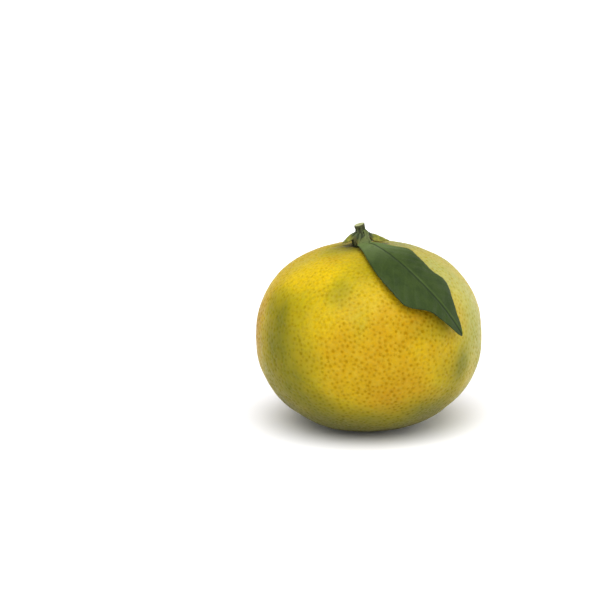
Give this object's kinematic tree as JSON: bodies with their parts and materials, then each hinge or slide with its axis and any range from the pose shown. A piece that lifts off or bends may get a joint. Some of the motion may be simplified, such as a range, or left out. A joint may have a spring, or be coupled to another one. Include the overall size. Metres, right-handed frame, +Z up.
{
  "type": "satsuma mandarin",
  "caption": "Whole satsuma mandarin with dimpled yellow-green peel, a star calyx, a short cut stem and a leaf lying over its shoulder; rests on a small flat spot.",
  "frame": {"origin": "middle of the flat spot that the fruit rests on", "axes": "+Z up through the stem end, -Y the side that the leaf hangs on, +X the side that the leaf's tip points to"},
  "size_m": [0.0658, 0.0661, 0.0597],
  "materials": {
    "peel": "satin",
    "sepal": "matte",
    "bark": "matte",
    "leaf_skin": "satin"
  },
  "bodies": {
    "root": {"fruit": "peel", "calyx": "sepal", "stem": "bark", "leaf": "leaf_skin"}
  },
  "joints": []
}
